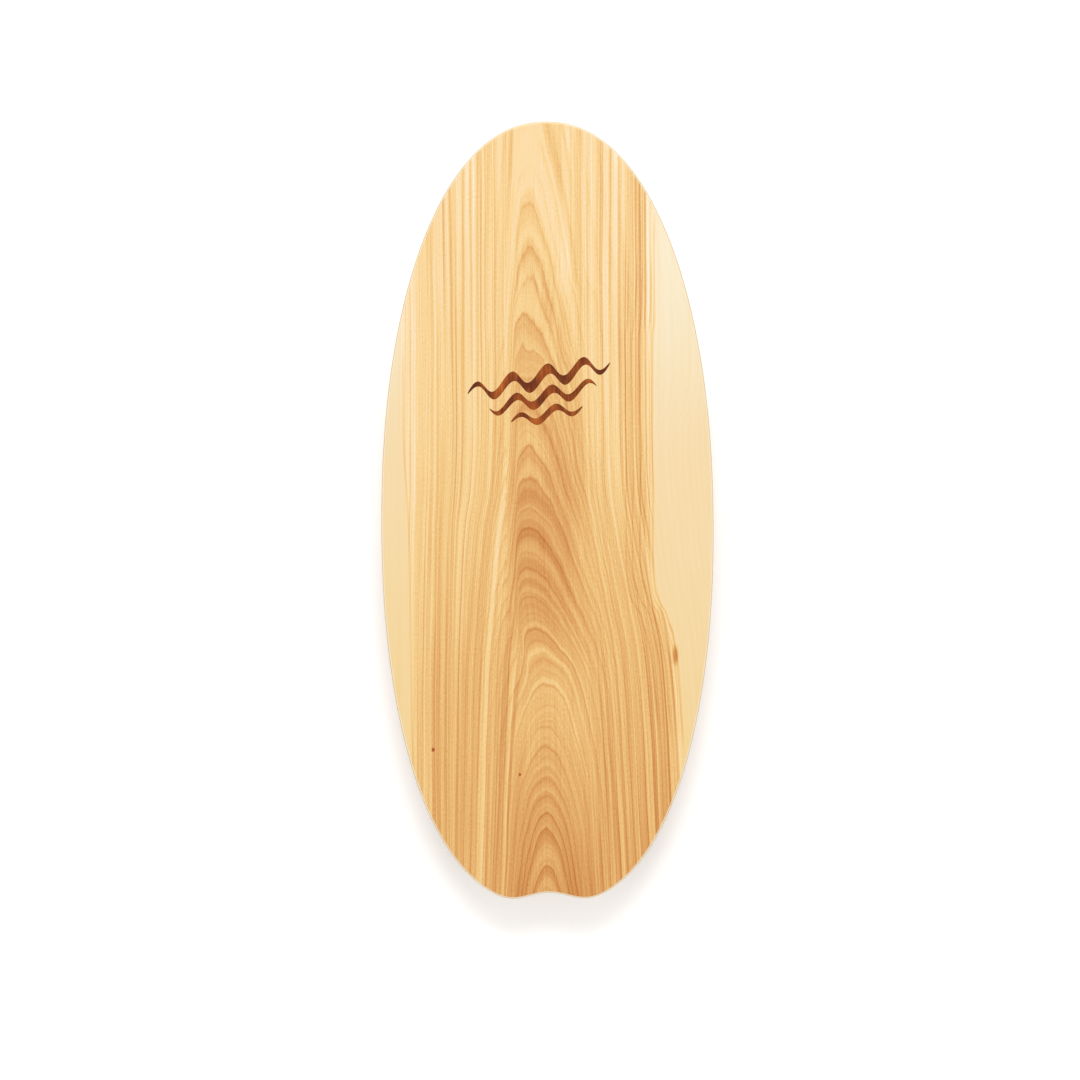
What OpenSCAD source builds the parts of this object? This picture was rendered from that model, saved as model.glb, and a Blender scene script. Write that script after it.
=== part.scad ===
// Roller balance board: an egg-shaped plywood deck with a shallow swallow tail,
// two stop rails under it, and a loose cork-covered roller that it rides on.
// Millimetres. +Z up, +Y towards the nose. The origin is on the floor, under the
// middle of the deck, where the roller stands when the deck is level.

/* [Deck outline] */
// Length of the deck, nose to tail lobes
deck_l = 800; // [740:5:860]
// Width of the deck at its widest point
deck_w = 342; // [300:2:380]
// How far the widest point lies behind the middle of the deck
widest_back = 18; // [0:1:40]
// Fullness of the nose curve, where 2 is a plain ellipse
nose_full = 2.16; // [2:0.02:2.4]
// Fullness of the tail curve across the deck
tail_full_x = 2.5; // [2:0.05:2.8]
// Fullness of the tail curve along the deck
tail_full_y = 2.1; // [2:0.05:2.4]
// Length that the tail curve would gain if the lobes didn't cut it
tail_trim = 6.5; // [4:0.5:12]
// Distance from the centre line to each tail lobe
lobe_x = 37.5; // [30:0.5:44]
// Depth of the dip between the tail lobes
notch_d = 6; // [0:0.5:10]
// Distance from the centre line at which the lobes run out into the tail curve
lobe_join_x = 62.5; // [56:0.5:72]

/* [Deck plies] */
// Thickness of the ash face and back veneers
veneer_t = 0.75; // [0.6:0.05:1]
// Thickness of each birch ply
ply_t = 1.5; // [1.3:0.05:1.6]
// Radius of the rounded edge on both faces
edge_r = 3; // [1:0.5:3.5]

/* [Engraved waves] */
// Length of the longest engraved wave, across the deck
wave_l = 150; // [120:2:170]
// Height of its crests above the middle of the stroke
wave_a = 7.5; // [5:0.5:8]
// Depth of the engraving
wave_d = 0.3; // [0.2:0.05:0.45]
// Slope at which the waves rise to the right, in degrees
wave_tilt = 12; // [0:1:20]
// Distance of the waves from the middle of the deck, towards the nose
wave_y = 116; // [80:1:140]

/* [Stop rails] */
// Length of each stop rail, across the deck
rail_l = 190; // [170:2:200]
// Width of each stop rail
rail_w = 26; // [24:1:30]
// Height of each stop rail under the deck
rail_h = 18; // [16:1:20]
// Distance from the middle of the deck to the middle of each rail
rail_y = 305; // [285:1:310]
// Radius along the lower edges of a rail
rail_r = 3; // [2:0.5:4]

/* [Fasteners and pads] */
// Distance between screws along a rail
screw_pitch = 70; // [60:1:74]
// Length of a wood screw
screw_l = 25; // [22:1:26]
// Diameter of a floor pad
pad_d = 15; // [12:0.5:16]
// Distance from the centre line to each floor pad
pad_x = 36; // [30:1:40]
// How far a pad stands below its rail
pad_out = 2; // [1:0.5:3]

/* [Roller] */
// Outer diameter of the roller
roller_d = 100; // [90:1:110]
// Length of the roller
roller_l = 300; // [280:2:320]
// Thickness of the cork cover
cork_t = 5; // [4:0.5:8]
// Wall of the core tube
tube_wall = 6; // [4:0.5:8]
// Thickness of each end cap
cap_t = 12; // [8:1:18]

/* [Hidden] */

plies = 9;
gap = 0.3;                                   // free play between roller and deck
under = roller_d + gap;                      // underside of the deck
deck_t = 2 * veneer_t + plies * ply_t;
top = under + deck_t;
fit = 0.08;                                  // radial clearance of the running fits
nose_len = deck_l / 2 + widest_back;
tail_len = deck_l / 2 - widest_back;
tail_b = tail_len + tail_trim;
screw_xs = [-screw_pitch, 0, screw_pitch];
pilot_d = 9;                                 // depth of the screw holes in the deck
screw_r = 2;                                 // outer radius of the screw thread
head_r = 4;
head_sink = 1;                               // screw head below the rail's face
head_h = 2.3;

// ---- outline of the deck, anticlockwise, as [x, y, nx, ny] with outward normals ----
function spow(v, e) = sign(v) * pow(abs(v), e);
function nose_pt(t) = [deck_w / 2 * spow(cos(t), 2 / nose_full),
                       -widest_back + nose_len * pow(sin(t), 2 / nose_full)];
function tail_curve_y(x) =
    -widest_back - tail_b * pow(1 - pow(abs(x) / (deck_w / 2), tail_full_x), 1 / tail_full_y);
function tail_slope(x) = (tail_curve_y(x + 0.1) - tail_curve_y(x - 0.1)) / 0.2;
function hermite(a, m0, b, m1, w, u) =
    a * (2 * u * u * u - 3 * u * u + 1) + m0 * w * (u * u * u - 2 * u * u + u)
    + b * (3 * u * u - 2 * u * u * u) + m1 * w * (u * u * u - u * u);
function tail_end_y(x) = let (q = abs(x))
    q <= lobe_x
    ? -deck_l / 2 + notch_d * (1 + cos(180 * q / lobe_x)) / 2
    : hermite(-deck_l / 2, 0, tail_curve_y(lobe_join_x), tail_slope(lobe_join_x),
              lobe_join_x - lobe_x, (q - lobe_x) / (lobe_join_x - lobe_x));
join_t = acos(pow(lobe_join_x / (deck_w / 2), tail_full_x / 2));
function tail_pt(t) = [deck_w / 2 * pow(cos(t), 2 / tail_full_x),
                       -widest_back - tail_b * pow(sin(t), 2 / tail_full_y)];

nose_n = 76;
side_n = 24;
end_n = 50;
outline = concat(
    [for (i = [0 : nose_n - 1]) nose_pt(180 * i / nose_n)],
    [for (i = [0 : side_n - 1]) let (p = tail_pt(join_t * i / side_n)) [-p[0], p[1]]],
    [for (i = [0 : end_n]) let (x = -lobe_join_x + 2 * lobe_join_x * i / end_n) [x, tail_end_y(x)]],
    [for (i = [side_n - 1 : -1 : 1]) tail_pt(join_t * i / side_n)]
);
n_out = len(outline);
function unit(v) = v / norm(v);
function inset(d) = [for (i = [0 : n_out - 1])
    let (a = outline[(i + n_out - 1) % n_out], b = outline[(i + 1) % n_out], t = unit(b - a))
    outline[i] - d * [t[1], -t[0]]];

// How far the rounded edge stands back at height z
function edge_back(z) = let (d = min(z - under, top - z))
    d >= edge_r ? 0 : edge_r - sqrt(max(0, edge_r * edge_r - (edge_r - d) * (edge_r - d)));

// A slice of the deck between two heights, following the rounded edge
module deck_slice(z0, z1) {
    if (edge_back(z0) == 0 && edge_back(z1) == 0)
        translate([0, 0, z0]) linear_extrude(z1 - z0) polygon(outline);
    else {
        zs = [z0, (z0 + z1) / 2, z1];
        rings = [for (z = zs) inset(edge_back(z))];
        polyhedron(
            points = [for (k = [0 : 2], i = [0 : n_out - 1]) [rings[k][i][0], rings[k][i][1], zs[k]]],
            faces = concat(
                [[for (i = [0 : n_out - 1]) i]],
                [[for (i = [n_out - 1 : -1 : 0]) 2 * n_out + i]],
                [for (k = [0, 1], i = [0 : n_out - 1]) let (j = (i + 1) % n_out)
                    [k * n_out + i, (k + 1) * n_out + i, (k + 1) * n_out + j]],
                [for (k = [0, 1], i = [0 : n_out - 1]) let (j = (i + 1) % n_out)
                    [k * n_out + i, (k + 1) * n_out + j, k * n_out + j]]));
    }
}

module pilot_holes() {
    for (y = [-rail_y, rail_y], x = screw_xs)
        translate([x, y, under - 1]) cylinder(r = screw_r + 0.05, h = pilot_d + 1, $fn = 48);
}

// Slice of the deck, drilled where the rail screws reach it
module drilled_slice(z0, z1) {
    if (z0 < under + pilot_d) difference() { deck_slice(z0, z1); pilot_holes(); }
    else deck_slice(z0, z1);
}

// ---- engraved waves: three strokes, one under another, thick in the middle and
// ---- drawn out to points, their crests leaning to the right ----
wave_pitch = wave_l / 4;
// each stroke: [length, distance above the middle stroke, crest height, half width]
wave_strokes = [[wave_l, 20, wave_a, 5.2], [wave_l * 0.75, 0, wave_a * 0.85, 4.3], [wave_l * 0.5, -18, wave_a * 0.7, 3.4]];
function wave_mid(k, u) = let (x = wave_strokes[k][0] * (u - 0.5), s = sin(360 * (x + wave_l / 2) / wave_pitch))
    [x + 0.3 * wave_strokes[k][2] * s, wave_strokes[k][1] + wave_strokes[k][2] * s];
function wave_half(k, u) = 0.25 + wave_strokes[k][3] * sqrt(max(0, sin(180 * u)));
module engraved_waves() {
    n = 80;
    translate([-4, wave_y]) rotate(wave_tilt)
        for (k = [0 : 2]) polygon(concat(
            [for (i = [0 : n]) let (p = wave_mid(k, i / n)) [p[0], p[1] + wave_half(k, i / n)]],
            [for (i = [n : -1 : 0]) let (p = wave_mid(k, i / n)) [p[0], p[1] - wave_half(k, i / n)]]));
}

module face_veneer() {
    color([0.93, 0.78, 0.55]) difference() {
        deck_slice(top - veneer_t, top);
        translate([0, 0, top - wave_d]) linear_extrude(1) engraved_waves();
    }
}
module back_veneer() { color([0.92, 0.77, 0.55]) drilled_slice(under, under + veneer_t); }
module core_ply(i) {
    z1 = top - veneer_t - (i - 1) * ply_t;
    color(i % 2 == 1 ? [0.78, 0.62, 0.42] : [0.90, 0.78, 0.58]) drilled_slice(z1 - ply_t, z1);
}

// ---- stop rails ----
// Half of the rail's cross-section, out from its middle line, as [out, height]
function rail_half() = concat(
    [[0, 0]],
    [for (a = [-90 : 15 : 0]) [rail_w / 2 - rail_r + rail_r * cos(a), rail_r + rail_r * sin(a)]],
    [[rail_w / 2, rail_h], [0, rail_h]]);
module rail_body() {
    straight = rail_l - rail_w;
    for (m = [0, 1]) mirror([0, m, 0])
        translate([-straight / 2, 0, 0]) rotate([90, 0, 90])
            linear_extrude(straight) polygon(rail_half());
    translate([straight / 2, 0, 0]) rotate([0, 0, -90])
        rotate_extrude(angle = 180, $fn = 64) polygon(rail_half());
    translate([-straight / 2, 0, 0]) rotate([0, 0, 90])
        rotate_extrude(angle = 180, $fn = 64) polygon(rail_half());
}
module stop_rail(s) {
    color([0.86, 0.66, 0.45])
    translate([0, s * rail_y, under - rail_h]) difference() {
        rail_body();
        for (x = screw_xs) translate([x, 0, 0]) {
            translate([0, 0, -1]) cylinder(r = screw_r + 0.25, h = rail_h + 2, $fn = 48);
            translate([0, 0, -1]) cylinder(r = head_r + 0.3, h = head_sink + 1, $fn = 48);
            translate([0, 0, head_sink]) cylinder(r1 = head_r + 0.3, r2 = screw_r + 0.25, h = head_h, $fn = 48);
        }
        for (x = [-pad_x, pad_x]) translate([x, 0, -1]) cylinder(d = pad_d + 0.2, h = 2, $fn = 64);
    }
}

// ---- wood screws, head down, with a star socket ----
thread_n = 9;
thread_pitch = 1.8;
function screw_profile() = let (z0 = screw_l - thread_n * thread_pitch - 1.6) concat(
    [[0, 0], [head_r, 0], [head_r, 0.3], [1.55, head_h], [1.4, head_h + 0.3], [1.4, z0]],
    [for (k = [0 : thread_n - 1], p = [[1.25, 0.1], [screw_r, 0.9], [1.25, 1.7]])
        [p[0], z0 + k * thread_pitch + p[1]]],
    [[0.9, screw_l - 1.2], [0, screw_l]]);
module wood_screw() {
    difference() {
        rotate_extrude($fn = 48) polygon(screw_profile());
        translate([0, 0, -0.5]) cylinder(r = 1.25, h = 2.0, $fn = 24);
        for (a = [0 : 60 : 300]) rotate([0, 0, a]) translate([1.3, 0, -0.5]) cylinder(r = 0.42, h = 2.0, $fn = 16);
    }
}
module stop_screws(s) {
    color([0.72, 0.72, 0.74])
    for (x = screw_xs) translate([x, s * rail_y, under - rail_h + head_sink]) wood_screw();
}

// ---- rubber floor pads, set into the rails ----
module floor_pads(s) {
    color([0.12, 0.12, 0.12])
    for (x = [-pad_x, pad_x]) translate([x, s * rail_y, under - rail_h - pad_out])
        rotate_extrude($fn = 64) polygon([
            [0, 0], [pad_d / 2 - 0.8, 0], [pad_d / 2 - 0.25, 0.25], [pad_d / 2, 0.8],
            [pad_d / 2, pad_out + 1], [0, pad_out + 1]]);
}

// ---- roller ----
tube_r = roller_d / 2 - cork_t - fit;
tube_ri = tube_r - tube_wall;
module along_x(x0) { translate([x0, 0, roller_d / 2]) rotate([0, 90, 0]) children(); }
module roller_cork_cover() {
    r = roller_d / 2;
    ri = r - cork_t;
    color([0.72, 0.53, 0.36])
    along_x(-roller_l / 2) rotate_extrude($fn = 128) polygon([
        [ri, 0], [r - 2, 0], [r - 1, 0.27], [r - 0.27, 1], [r, 2],
        [r, roller_l - 2], [r - 0.27, roller_l - 1], [r - 1, roller_l - 0.27], [r - 2, roller_l],
        [ri, roller_l]]);
}
module roller_core_tube() {
    color([0.30, 0.30, 0.32])
    along_x(-roller_l / 2 + 1) difference() {
        cylinder(r = tube_r, h = roller_l - 2, $fn = 128);
        translate([0, 0, -1]) cylinder(r = tube_ri, h = roller_l, $fn = 128);
    }
}
module roller_cap(s) {
    r = tube_ri - fit;
    color([0.85, 0.68, 0.47])
    along_x(s > 0 ? roller_l / 2 - 1 - cap_t : -roller_l / 2 + 1)
        translate([0, 0, s > 0 ? 0 : cap_t]) mirror([0, 0, s > 0 ? 0 : 1])
        rotate_extrude($fn = 96) polygon([
            [0, 0], [r, 0], [r, cap_t - 1], [r - 1, cap_t], [0, cap_t]]);
}

face_veneer();
core_ply(1);  // core_ply_1
core_ply(2);  // core_ply_2
core_ply(3);  // core_ply_3
core_ply(4);  // core_ply_4
core_ply(5);  // core_ply_5
core_ply(6);  // core_ply_6
core_ply(7);  // core_ply_7
core_ply(8);  // core_ply_8
core_ply(9);  // core_ply_9
back_veneer();
stop_rail(1);  // nose_stop_rail
stop_rail(-1);  // tail_stop_rail
stop_screws(1);  // nose_stop_screws
stop_screws(-1);  // tail_stop_screws
floor_pads(1);  // nose_floor_pads
floor_pads(-1);  // tail_floor_pads
roller_cork_cover();
roller_core_tube();
roller_cap(-1);  // roller_left_cap
roller_cap(1);  // roller_right_cap
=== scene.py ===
import math
import bpy
import bmesh
from mathutils import Matrix, Vector, noise as mnoise


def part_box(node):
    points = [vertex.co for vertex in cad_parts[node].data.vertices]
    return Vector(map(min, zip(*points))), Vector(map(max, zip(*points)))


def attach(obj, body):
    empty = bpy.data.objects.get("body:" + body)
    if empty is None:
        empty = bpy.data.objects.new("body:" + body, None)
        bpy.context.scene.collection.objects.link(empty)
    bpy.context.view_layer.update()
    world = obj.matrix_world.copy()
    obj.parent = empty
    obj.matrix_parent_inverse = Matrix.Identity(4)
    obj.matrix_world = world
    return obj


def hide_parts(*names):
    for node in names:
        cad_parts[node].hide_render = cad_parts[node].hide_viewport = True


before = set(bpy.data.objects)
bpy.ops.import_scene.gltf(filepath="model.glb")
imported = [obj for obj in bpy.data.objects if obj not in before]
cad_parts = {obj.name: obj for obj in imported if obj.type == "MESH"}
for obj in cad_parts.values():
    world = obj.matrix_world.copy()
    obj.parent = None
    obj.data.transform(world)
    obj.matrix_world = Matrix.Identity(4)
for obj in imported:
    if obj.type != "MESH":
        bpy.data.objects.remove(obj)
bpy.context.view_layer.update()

scene = bpy.context.scene

MM = 0.001

# ---------------------------------------------------------------- shape of the deck (mm)
LEN, WID, BACK = 800.0, 342.0, 18.0
NOSE_E = 2.16
TAIL_EX, TAIL_EY, TAIL_TRIM = 2.5, 2.1, 6.5
LOBE_X, NOTCH, JOIN_X = 37.5, 6.0, 62.5
VENEER, PLY, EDGE_R = 0.75, 1.5, 3.0
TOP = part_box("face_veneer")[1][2] / MM
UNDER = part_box("back_veneer")[0][2] / MM
A = WID / 2
NOSE_B = LEN / 2 + BACK
TAIL_B = LEN / 2 - BACK + TAIL_TRIM


def tail_curve(x):
    return -BACK - TAIL_B * (1 - (abs(x) / A) ** TAIL_EX) ** (1 / TAIL_EY)


def tail_slope(x):
    return (tail_curve(x + 0.1) - tail_curve(x - 0.1)) / 0.2


def tail_end(x):
    q = abs(x)
    if q <= LOBE_X:
        return -LEN / 2 + NOTCH * (1 + math.cos(math.pi * q / LOBE_X)) / 2
    w = JOIN_X - LOBE_X
    u = (q - LOBE_X) / w
    b, m = tail_curve(JOIN_X), tail_slope(JOIN_X)
    a = -LEN / 2
    return (a * (2 * u**3 - 3 * u * u + 1) + b * (3 * u * u - 2 * u**3) + m * w * (u**3 - u * u))


def raw_outline():
    pts = []
    n = 1500
    for i in range(n):
        t = math.pi * i / n
        c, s = math.cos(t), math.sin(t)
        pts.append((math.copysign(abs(c) ** (2 / NOSE_E), c) * A, -BACK + NOSE_B * s ** (2 / NOSE_E)))
    t_join = math.acos((JOIN_X / A) ** (TAIL_EX / 2))
    n = 700
    side = []
    for i in range(n):
        t = t_join * i / n
        side.append((A * math.cos(t) ** (2 / TAIL_EX), -BACK - TAIL_B * math.sin(t) ** (2 / TAIL_EY)))
    pts += [(-x, y) for x, y in side]
    n = 500
    for i in range(n + 1):
        x = -JOIN_X + 2 * JOIN_X * i / n
        pts.append((x, tail_end(x)))
    pts += side[:0:-1]
    return pts


def resample(pts, n):
    """n points at even spacing round a closed outline, starting at its first point."""
    seg = []
    total = 0.0
    for i, p in enumerate(pts):
        q = pts[(i + 1) % len(pts)]
        d = math.hypot(q[0] - p[0], q[1] - p[1])
        seg.append((total, d))
        total += d
    out, k = [], 0
    for j in range(n):
        s = total * j / n
        while k + 1 < len(pts) and seg[k + 1][0] <= s:
            k += 1
        p, q = pts[k], pts[(k + 1) % len(pts)]
        f = (s - seg[k][0]) / max(seg[k][1], 1e-9)
        out.append((p[0] + (q[0] - p[0]) * f, p[1] + (q[1] - p[1]) * f))
    return out


def with_normals(pts):
    out = []
    n = len(pts)
    for i in range(n):
        a, b = pts[i - 1], pts[(i + 1) % n]
        tx, ty = b[0] - a[0], b[1] - a[1]
        l = math.hypot(tx, ty)
        out.append((pts[i][0], pts[i][1], ty / l, -tx / l))
    return out


OUTLINE = with_normals(resample(raw_outline(), 720))


def edge_back(z):
    d = min(z - UNDER, TOP - z)
    if d >= EDGE_R:
        return 0.0
    return EDGE_R - math.sqrt(max(0.0, EDGE_R**2 - (EDGE_R - d) ** 2))


# ---------------------------------------------------------------- mesh helpers
def new_object(name, bm, smooth_angle=40.0, mats=()):
    me = bpy.data.meshes.new(name)
    bmesh.ops.recalc_face_normals(bm, faces=bm.faces)
    lim = math.radians(smooth_angle)
    for f in bm.faces:
        f.smooth = abs(f.normal.z) < 0.9999
    for e in bm.edges:
        if len(e.link_faces) == 2 and e.calc_face_angle(0.0) > lim:
            e.smooth = False
    bm.to_mesh(me)
    bm.free()
    ob = bpy.data.objects.new(name, me)
    scene.collection.objects.link(ob)
    for m in mats:
        me.materials.append(m)
    return ob


def stack(rings):
    """A closed solid from closed rings of points (metres), first at the bottom."""
    bm = bmesh.new()
    layers = [[bm.verts.new(p) for p in r] for r in rings]
    n = len(layers[0])
    for a, b in zip(layers, layers[1:]):
        for i in range(n):
            j = (i + 1) % n
            bm.faces.new((a[i], a[j], b[j], b[i]))
    bm.faces.new(list(reversed(layers[0])))
    bm.faces.new(layers[-1])
    return bm


def outline_slab(outline, levels):
    """levels: [(z, inset)], in mm, bottom first."""
    return stack([[((x - nx * d) * MM, (y - ny * d) * MM, z * MM) for x, y, nx, ny in outline] for z, d in levels])


def lathe(profile, n, centre, axis="Z"):
    """A closed solid of revolution from an open profile [(r, h)] that starts and ends on the axis."""
    bm = bmesh.new()
    inner = [p for p in profile if p[0] > 1e-6]
    ends = profile[0], profile[-1]

    def place(r, h, t):
        x, y = r * math.cos(t), r * math.sin(t)
        v = Vector((x, y, h)) if axis == "Z" else Vector((h, x, y))
        return v * MM + Vector(centre) * MM

    rows = [[bm.verts.new(place(r, h, 2 * math.pi * i / n)) for i in range(n)] for r, h in inner]
    for a, b in zip(rows, rows[1:]):
        for i in range(n):
            j = (i + 1) % n
            bm.faces.new((a[i], a[j], b[j], b[i]))
    for end, row in ((ends[0], rows[0]), (ends[1], rows[-1])):
        c = bm.verts.new(place(0, end[1], 0))
        for i in range(n):
            bm.faces.new((c, row[i], row[(i + 1) % n]))
    return bm


def ring_lathe(profile, n, centre):
    """A closed ring about an X axis from a closed profile [(r, h)]."""
    bm = bmesh.new()
    rows = []
    for r, h in profile:
        rows.append([bm.verts.new((Vector((h, r * math.cos(2 * math.pi * i / n), r * math.sin(2 * math.pi * i / n))) + Vector(centre)) * MM)
                     for i in range(n)])
    m = len(rows)
    for k in range(m):
        a, b = rows[k], rows[(k + 1) % m]
        for i in range(n):
            j = (i + 1) % n
            bm.faces.new((a[i], a[j], b[j], b[i]))
    return bm


def cut(ob, cutter, keep_cutter=False):
    """Cuts cutter out of ob, for good."""
    mod = ob.modifiers.new("cut", "BOOLEAN")
    mod.operation = "DIFFERENCE"
    mod.solver = "EXACT"
    mod.object = cutter
    mod.material_mode = "TRANSFER"
    bpy.context.view_layer.update()
    deps = bpy.context.evaluated_depsgraph_get()
    me = bpy.data.meshes.new_from_object(ob.evaluated_get(deps), depsgraph=deps)
    old = ob.data
    ob.modifiers.clear()
    ob.data = me
    bpy.data.meshes.remove(old)
    if not keep_cutter:
        cm = cutter.data
        bpy.data.objects.remove(cutter)
        bpy.data.meshes.remove(cm)


# ---------------------------------------------------------------- node helpers
def lin(c):
    c = c / 255.0
    return c / 12.92 if c <= 0.04045 else ((c + 0.055) / 1.055) ** 2.4


# The studio light is bright enough for the floor to go white, so every colour
# is written as it should look, less what the gloss adds, over the light's strength.
LIGHT = 1.40
GLOSS = 0.048


def rgb(r, g, b, gain=LIGHT, gloss=GLOSS):
    return tuple(max(0.004, (lin(c) - gloss) / gain) for c in (r, g, b)) + (1.0,)


def dark(r, g, b):
    return rgb(r, g, b, LIGHT, 0.008)


class Graph:
    def __init__(self, name, rough=0.5, spec=0.5, coat=0.0, coat_rough=0.2, sheen=0.0, metallic=0.0):
        self.mat = bpy.data.materials.new(name)
        self.mat.use_nodes = True
        self.nt = self.mat.node_tree
        self.bsdf = next(n for n in self.nt.nodes if n.type == "BSDF_PRINCIPLED")
        b = self.bsdf.inputs
        b["Roughness"].default_value = rough
        b["Specular IOR Level"].default_value = spec
        b["Coat Weight"].default_value = coat
        b["Coat Roughness"].default_value = coat_rough
        b["Sheen Weight"].default_value = sheen
        b["Metallic"].default_value = metallic
        self.coord = self.nt.nodes.new("ShaderNodeTexCoord")
        sep = self.nt.nodes.new("ShaderNodeSeparateXYZ")
        self.link(self.coord.outputs["Object"], sep.inputs[0])
        self.x = self.m("MULTIPLY", sep.outputs[0], 1000.0)
        self.y = self.m("MULTIPLY", sep.outputs[1], 1000.0)
        self.z = self.m("MULTIPLY", sep.outputs[2], 1000.0)

    def link(self, a, b):
        self.nt.links.new(a, b)

    def put(self, socket, v):
        if isinstance(v, bpy.types.NodeSocket):
            self.link(v, socket)
        else:
            socket.default_value = v

    def m(self, op, a, b=None, c=None, clamp=False):
        n = self.nt.nodes.new("ShaderNodeMath")
        n.operation = op
        n.use_clamp = clamp
        self.put(n.inputs[0], a)
        if b is not None:
            self.put(n.inputs[1], b)
        if c is not None:
            self.put(n.inputs[2], c)
        return n.outputs[0]

    def add(self, a, *rest):
        for b in rest:
            a = self.m("ADD", a, b)
        return a

    def sub(self, a, b):
        return self.m("SUBTRACT", a, b)

    def mul(self, a, b):
        return self.m("MULTIPLY", a, b)

    def step(self, v, lo, hi, a=0.0, b=1.0):
        """Smooth step from a at lo to b at hi."""
        n = self.nt.nodes.new("ShaderNodeMapRange")
        n.interpolation_type = "SMOOTHSTEP"
        self.put(n.inputs["Value"], v)
        n.inputs["From Min"].default_value = lo
        n.inputs["From Max"].default_value = hi
        n.inputs["To Min"].default_value = a
        n.inputs["To Max"].default_value = b
        return n.outputs[0]

    def vec(self, x, y=0.0, z=0.0):
        n = self.nt.nodes.new("ShaderNodeCombineXYZ")
        self.put(n.inputs[0], x)
        self.put(n.inputs[1], y)
        self.put(n.inputs[2], z)
        return n.outputs[0]

    def noise(self, v, detail=2.0, rough=0.5, signed=True, scale=1.0):
        n = self.nt.nodes.new("ShaderNodeTexNoise")
        n.inputs["Scale"].default_value = scale
        n.inputs["Detail"].default_value = detail
        n.inputs["Roughness"].default_value = rough
        self.link(v, n.inputs["Vector"])
        f = n.outputs["Fac"]
        return self.m("MULTIPLY_ADD", f, 2.0, -1.0) if signed else f

    def streak(self, x, y, sx, sy, seed=0.0, detail=2.0, rough=0.5):
        """Signed noise with features sx mm wide and sy mm long."""
        return self.noise(self.vec(self.m("DIVIDE", x, sx), self.m("DIVIDE", y, sy), seed), detail, rough)

    def curve(self, v, lo, hi, points):
        """A smooth curve through [(input, output)] over lo..hi."""
        n = self.nt.nodes.new("ShaderNodeFloatCurve")
        ys = [p[1] for p in points]
        a, b = min(ys), max(ys)
        span = (b - a) or 1.0
        t = self.m("DIVIDE", self.sub(v, lo), hi - lo, clamp=True)
        c = n.mapping.curves[0]
        pts = [((x - lo) / (hi - lo), (y - a) / span) for x, y in points]
        c.points[0].location = pts[0]
        c.points[1].location = pts[-1]
        for p in pts[1:-1]:
            c.points.new(*p)
        for p in c.points:
            p.handle_type = "AUTO_CLAMPED"
        n.mapping.extend = "HORIZONTAL"
        n.mapping.update()
        self.link(t, n.inputs["Value"])
        return self.m("MULTIPLY_ADD", n.outputs[0], span, a)

    def ramp(self, v, lo, hi, stops, interp="LINEAR"):
        """Grey or colour stops [(input, value)] over lo..hi."""
        n = self.nt.nodes.new("ShaderNodeValToRGB")
        cr = n.color_ramp
        cr.interpolation = interp
        els = cr.elements
        while len(els) > 1:
            els.remove(els[-1])
        for i, (x, val) in enumerate(stops):
            p = min(1.0, max(0.0, (x - lo) / (hi - lo)))
            e = els[0] if i == 0 else els.new(p)
            e.position = p
            e.color = val if isinstance(val, tuple) else (val, val, val, 1.0)
        t = self.m("DIVIDE", self.sub(v, lo), hi - lo, clamp=True)
        self.link(t, n.inputs[0])
        return n.outputs[0]

    def mixf(self, f, a, b):
        n = self.nt.nodes.new("ShaderNodeMix")
        n.data_type = "FLOAT"
        n.clamp_factor = True
        self.put(n.inputs[0], f)
        self.put(n.inputs[2], a)
        self.put(n.inputs[3], b)
        return n.outputs[0]

    def mixc(self, f, a, b, blend="MIX"):
        n = self.nt.nodes.new("ShaderNodeMix")
        n.data_type = "RGBA"
        n.blend_type = blend
        self.put(n.inputs[0], f)
        self.put(n.inputs[6], a)
        self.put(n.inputs[7], b)
        return n.outputs[2]

    def voronoi(self, v, feature="F1", scale=1.0, rand=1.0):
        n = self.nt.nodes.new("ShaderNodeTexVoronoi")
        n.feature = feature
        n.inputs["Scale"].default_value = scale
        n.inputs["Randomness"].default_value = rand
        self.link(v, n.inputs["Vector"])
        return n

    def bump(self, height, strength, dist):
        n = self.nt.nodes.new("ShaderNodeBump")
        n.inputs["Strength"].default_value = strength
        n.inputs["Distance"].default_value = dist
        self.link(height, n.inputs["Height"])
        self.link(n.outputs[0], self.bsdf.inputs["Normal"])

    def colour(self, c):
        self.link(c, self.bsdf.inputs["Base Color"])

    def rough(self, v):
        self.link(v, self.bsdf.inputs["Roughness"])


# ---------------------------------------------------------------- materials
# Wood brightness, 0 to 255, to colour, for the ash.
ASH = [(120, rgb(170, 96, 48)), (145, rgb(198, 128, 72)), (160, rgb(211, 147, 88)), (170, rgb(218, 159, 98)),
       (180, rgb(226, 171, 109)), (190, rgb(234, 185, 119)), (200, rgb(241, 200, 135)), (211, rgb(247, 212, 151)),
       (221, rgb(249, 219, 172)), (232, rgb(251, 229, 192)), (244, rgb(254, 242, 216))]


# Square of the cut's distance from the pith (mm2), by height Y (mm). The growth rings
# show as arches where the cut runs out of them, and as lines along the grain beside them.
DEPTH2 = [(-420, 150), (-396, 330), (-313, 1100), (-250, 2000), (-182, 3150), (-103, 5000), (-20, 7100), (41, 8350), (113, 9500), (171, 10400),
          (262, 11300), (420, 12800)]
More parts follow.
